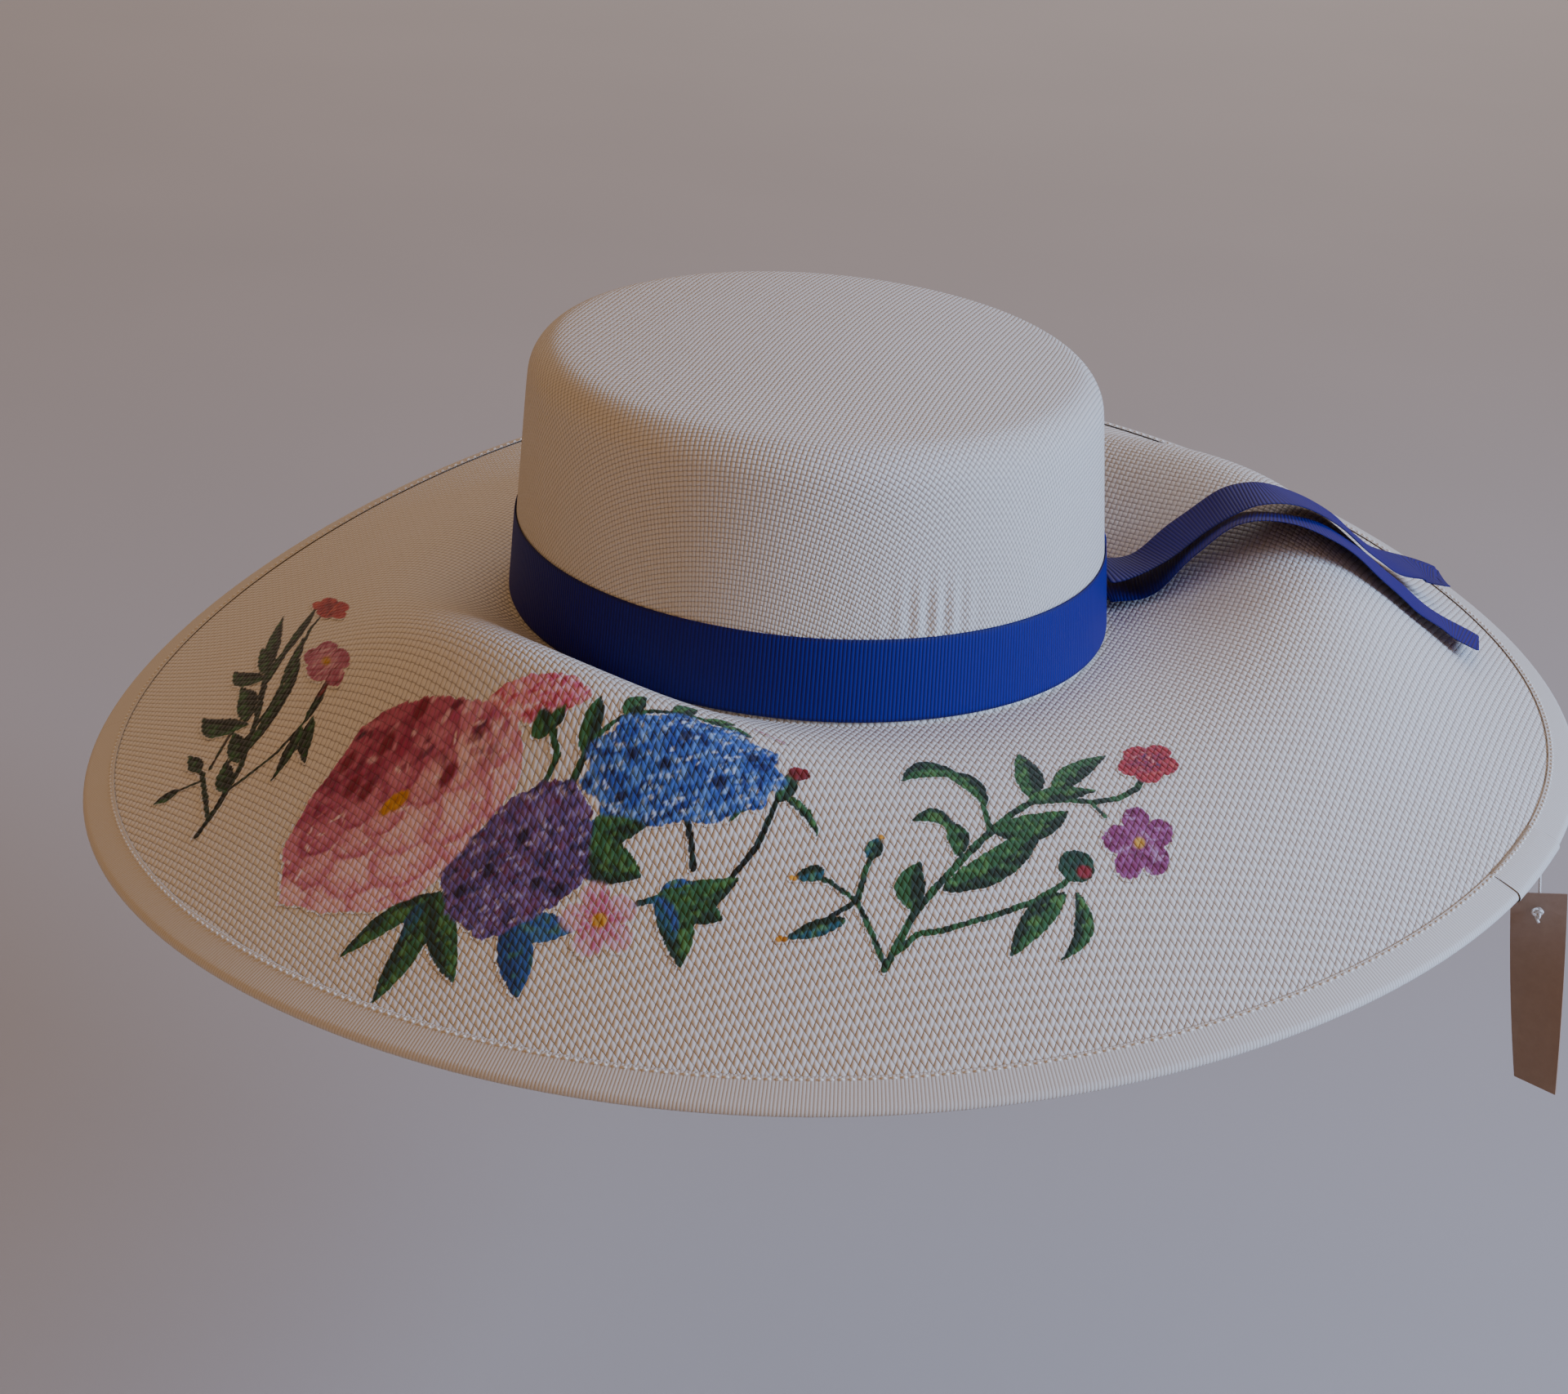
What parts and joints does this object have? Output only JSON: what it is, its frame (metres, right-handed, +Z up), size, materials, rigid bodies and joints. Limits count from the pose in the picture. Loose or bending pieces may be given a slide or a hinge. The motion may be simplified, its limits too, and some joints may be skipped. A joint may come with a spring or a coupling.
{
  "type": "wide-brim sun hat",
  "caption": "Wide-brimmed flat-topped straw sun hat with a bound, wired edge, a ribbon band with loose tails, an inner sweatband and a hanging card tag.",
  "frame": {"origin": "centre of the head opening, on the plane of the headline where crown and brim meet", "axes": "+Z up out of the crown, front of the hat towards -Y, +X to the right seen from the front, head's long axis along Y"},
  "size_m": [0.447, 0.447, 0.1945],
  "materials": {
    "straw": "ivory paper straw, plain weave, matt",
    "binding": "ivory grosgrain binding with fine cross ribs",
    "thread": "ivory sewing thread",
    "ribbon": "royal-blue grosgrain ribbon with a soft sheen",
    "sweatband": "cream grosgrain sweatband",
    "label": "white woven label, blank",
    "wire": "tinned steel wire",
    "card": "brown kraft card, uncoated",
    "twine": "white cotton twine"
  },
  "bodies": {
    "hat": {"crown": "straw", "brim": "straw", "brim_edge_wire": "wire", "edge_wire_joiner": "wire", "brim_edge_binding": "binding", "brim_edge_stitching": "thread", "hat_band": "ribbon", "band_keeper": "ribbon", "sweatband": "sweatband", "sweatband_stitching": "thread", "size_label": "label"},
    "tail_upper": {"ribbon_tail_upper": "ribbon"},
    "tail_lower": {"ribbon_tail_lower": "ribbon"},
    "tag_line": {"tag_string": "twine", "tag_knot": "twine"},
    "tag_card": {"swing_tag": "card"}
  },
  "joints": [
    {"name": "tail_lower_lift", "type": "hinge", "parent": "hat", "child": "tail_lower", "pos_m": [0.0895, 0.0177, 0.004], "axis": [0.1551, -0.9879, 0], "range_deg": [0, 34]},
    {"name": "tail_upper_lift", "type": "hinge", "parent": "hat", "child": "tail_upper", "pos_m": [0.0889, 0.0177, 0.01], "axis": [0.1551, -0.9879, 0], "range_deg": [0, 39.1]},
    {"name": "tag_swing", "type": "hinge", "parent": "hat", "child": "tag_line", "pos_m": [0.2132, -0.0683, -0.0227], "axis": [0, 1, 0], "range_deg": [-30, 25]},
    {"name": "tag_turn", "type": "hinge", "parent": "tag_line", "child": "tag_card", "pos_m": [0.2171, -0.0683, -0.0529], "axis": [0.1288, 0, -0.9917], "range_deg": [-15, 15]}
  ],
  "couplings": [
    {"joint": "tail_upper_lift", "follows": "tail_lower_lift", "ratio": 1.15}
  ]
}
